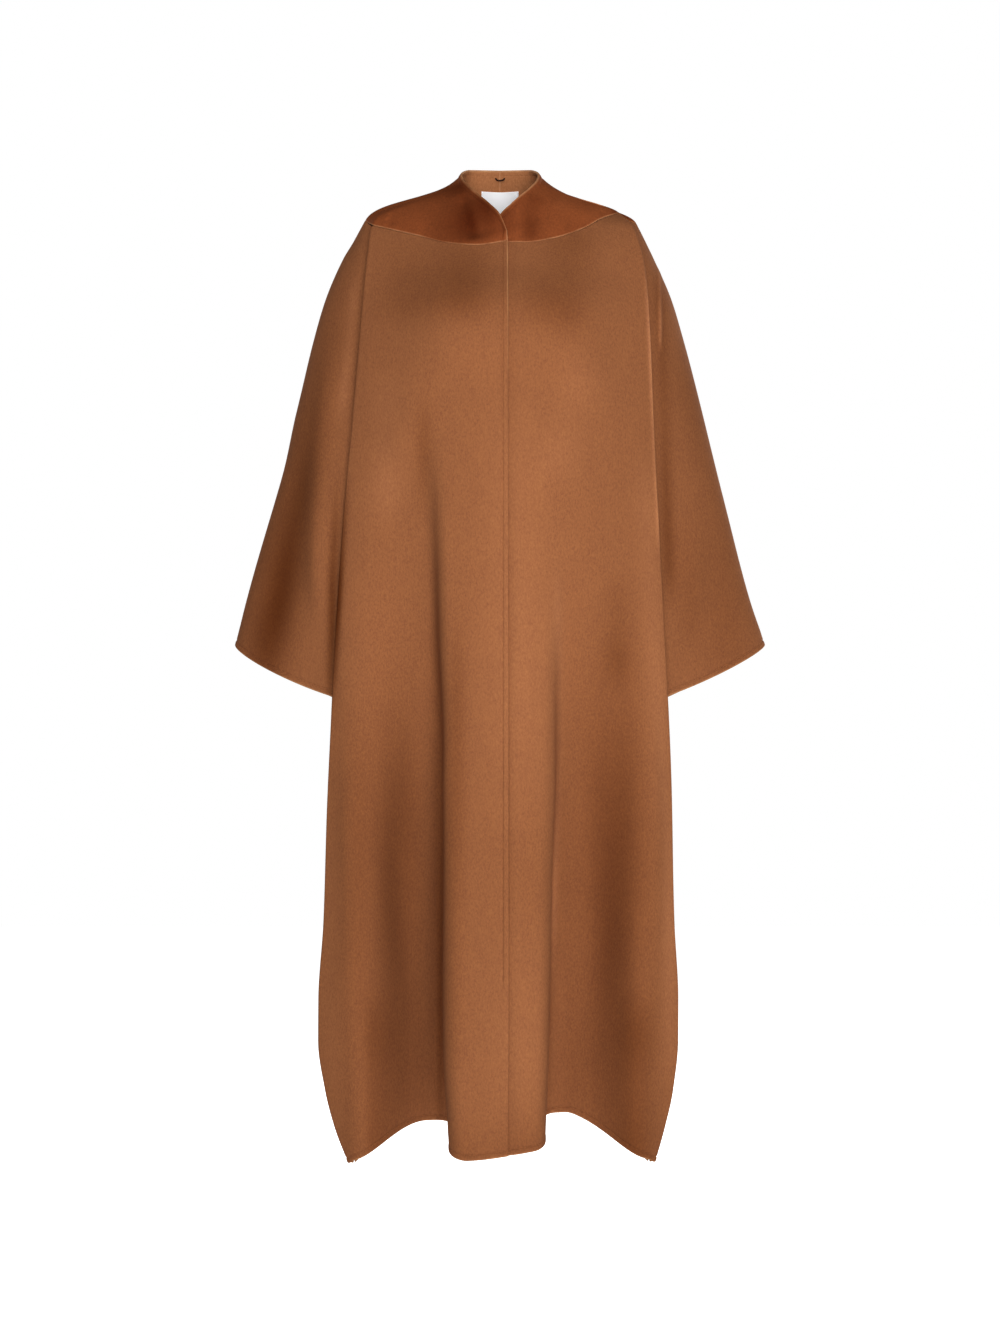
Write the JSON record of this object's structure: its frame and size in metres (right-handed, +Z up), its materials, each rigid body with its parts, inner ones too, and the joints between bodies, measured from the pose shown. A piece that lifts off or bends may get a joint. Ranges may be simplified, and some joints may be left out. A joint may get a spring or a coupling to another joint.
{
  "type": "coat",
  "caption": "Long coat of brown double-faced wool in its worn shape: yoke and stand collar cut in one, lapped front with a hidden closing, wide slanted sleeves and deep folds down to the hem.",
  "frame": {"origin": "middle of the neck at the height of the shoulder line, where the wearer's shoulders hold the coat", "axes": "+Z up, -Y towards the front, -X towards the wearer's right"},
  "size_m": [0.7736, 0.3647, 1.4309],
  "materials": {
    "wool": "matte, short nap",
    "yoke_wool": "matte, nap brushed flat",
    "label_satin": "satin weave, bare",
    "loop_cord": "dark twisted cord"
  },
  "bodies": {
    "root": {"front_right": "wool", "front_left": "wool", "back": "wool", "sleeve_right": "wool", "sleeve_left": "wool", "yoke_right": "yoke_wool", "yoke_left": "yoke_wool", "label": "label_satin", "hanger_loop": "loop_cord"}
  },
  "joints": []
}
